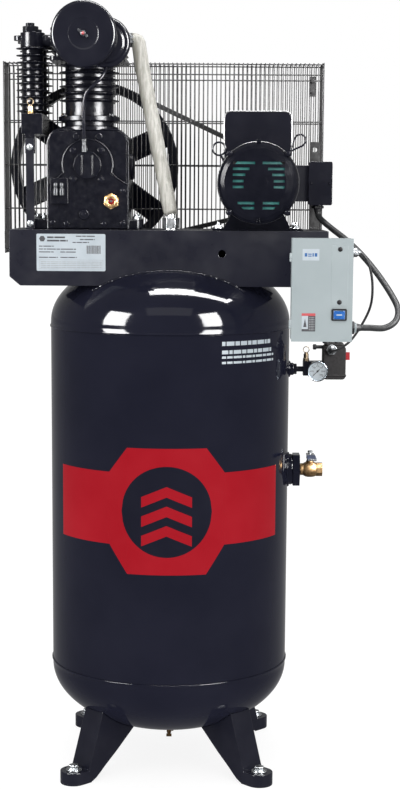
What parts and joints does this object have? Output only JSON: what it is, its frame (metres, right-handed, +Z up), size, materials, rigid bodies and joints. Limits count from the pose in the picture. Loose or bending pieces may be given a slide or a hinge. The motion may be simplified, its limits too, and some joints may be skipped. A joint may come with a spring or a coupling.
{
  "type": "vertical tank air compressor",
  "caption": "Two-stage belt-driven air compressor and motor on a deck over a vertical receiver with legs, belt guard, starter, pressure switch and outlet valve.",
  "frame": {"origin": "on the floor under the middle of the whole object's bounding box, cords left out", "axes": "+Z up, +X to the pressure switch side, -Y to the pump's and motor's front"},
  "size_m": [0.9853, 0.716, 1.924],
  "materials": {
    "tank_paint": "gloss black paint",
    "frame_paint": "satin black paint",
    "cast_paint": "black paint over cast iron",
    "cover_paint": "gloss black paint on sheet steel",
    "guard_wire": "black coated wire",
    "zinc_steel": "zinc plated",
    "machined_steel": "machined",
    "brass": "bare brass",
    "starter_paint": "light grey-green enamel",
    "black_plastic": "moulded black plastic",
    "red_plastic": "red lever",
    "blue_plastic": "blue button",
    "sleeve": "woven insulating sleeve",
    "filter_media": "pleated paper",
    "belt_rubber": "V belt",
    "cord_jacket": "black jacket",
    "copper_core": "laminations and varnished windings",
    "gauge_metal": "polished case",
    "needle_paint": "black"
  },
  "bodies": {
    "compressor": {"tank_shell": "tank_paint", "tank_top_head": "tank_paint", "tank_bottom_head": "tank_paint", "leg_front_left": "tank_paint", "leg_front_right": "tank_paint", "leg_rear_left": "tank_paint", "leg_rear_right": "tank_paint", "deck": "frame_paint", "deck_supports": "frame_paint", "crankcase": "cast_paint", "crankcase_cover": "cast_paint", "sight_glass": "brass", "breather_tube": "cord_jacket", "cylinder_block": "cast_paint", "cylinder_head": "cast_paint", "filter_base": "cover_paint", "filter_element": "filter_media", "filter_cover": "cover_paint", "intercooler": "cast_paint", "intercooler_headers": "cast_paint", "relief_valve": "brass", "intercooler_strap": "frame_paint", "discharge_pipe": "zinc_steel", "discharge_sleeve": "sleeve", "check_valve": "zinc_steel", "piston_sets": "machined_steel", "bearings": "machined_steel", "belts": "belt_rubber", "motor_frame": "frame_paint", "motor_front_bell": "frame_paint", "motor_rear_bell": "frame_paint", "stator": "copper_core", "capacitor_cover": "cover_paint", "junction_box": "cover_paint", "guard_panels": "guard_wire", "guard_frame": "guard_wire", "starter_box": "starter_paint", "contactor": "black_plastic", "pressure_switch": "black_plastic", "manifold": "cast_paint", "safety_valve": "brass", "gauge_case": "gauge_metal", "ball_valve": "brass", "drain_valve": "brass", "bolts": "zinc_steel", "conduit": "cord_jacket", "control_cable": "cord_jacket"},
    "running_gear": {"flywheel": "cast_paint", "crankshaft": "machined_steel"},
    "motor_rotor": {"rotor": "machined_steel", "motor_pulley": "cast_paint"},
    "wing_nut": {"wing_nut": "zinc_steel"},
    "relief_ring": {"relief_ring": "zinc_steel"},
    "safety_ring": {"safety_ring": "zinc_steel"},
    "starter_door": {"starter_door": "starter_paint"},
    "reset_button": {"reset_button": "blue_plastic"},
    "switch_lever": {"switch_lever": "red_plastic"},
    "gauge_needle": {"gauge_needle": "needle_paint"},
    "valve_handle": {"ball_valve_handle": "zinc_steel"},
    "drain_handle": {"drain_handle": "brass"}
  },
  "joints": [
    {"name": "crank_spin", "type": "hinge", "parent": "compressor", "child": "running_gear", "pos_m": [-0.2145, 0.164, 1.54], "axis": [0, 1, 0], "continuous": true},
    {"name": "rotor_spin", "type": "hinge", "parent": "compressor", "child": "motor_rotor", "pos_m": [0.2015, 0.164, 1.499], "axis": [0, 1, 0], "continuous": true},
    {"name": "wing_nut_turn", "type": "hinge", "parent": "compressor", "child": "wing_nut", "pos_m": [-0.2175, -0.186, 1.846], "axis": [0, 1, 0], "continuous": true},
    {"name": "relief_pull", "type": "slide", "parent": "compressor", "child": "relief_ring", "axis": [0, 0, 1], "range_m": [0, 0.003], "stiffness_N_per_m": 600, "springref_m": -0.001},
    {"name": "safety_pull", "type": "slide", "parent": "compressor", "child": "safety_ring", "axis": [0, 0, 1], "range_m": [0, 0.003], "stiffness_N_per_m": 600, "springref_m": -0.001},
    {"name": "starter_door_hinge", "type": "hinge", "parent": "compressor", "child": "starter_door", "pos_m": [0.2735, -0.349, 1.25], "axis": [0, 0, -1], "range_deg": [0, 110]},
    {"name": "reset_press", "type": "slide", "parent": "starter_door", "child": "reset_button", "axis": [0, 1, 0], "range_m": [0, 0.003], "stiffness_N_per_m": 400, "springref_m": -0.001},
    {"name": "lever_turn", "type": "hinge", "parent": "compressor", "child": "switch_lever", "pos_m": [0.4405, 0.05, 1.063], "axis": [1, 0, 0], "range_deg": [0, 90]},
    {"name": "needle_turn", "type": "hinge", "parent": "compressor", "child": "gauge_needle", "pos_m": [0.3615, 0, 1.028], "axis": [0, 1, 0], "range_deg": [0, 270], "stiffness_Nm_per_rad": 0.0005, "springref_deg": -11.46},
    {"name": "valve_turn", "type": "hinge", "parent": "compressor", "child": "valve_handle", "pos_m": [0.3485, 0.05, 0.79], "axis": [0, 0, 1], "range_deg": [0, 90]},
    {"name": "drain_turn", "type": "hinge", "parent": "compressor", "child": "drain_handle", "pos_m": [-0.0145, 0.05, 0.052], "axis": [0, 0, 1], "range_deg": [0, 360]}
  ],
  "couplings": [
    {"joint": "rotor_spin", "follows": "crank_spin", "ratio": 2.8514}
  ]
}
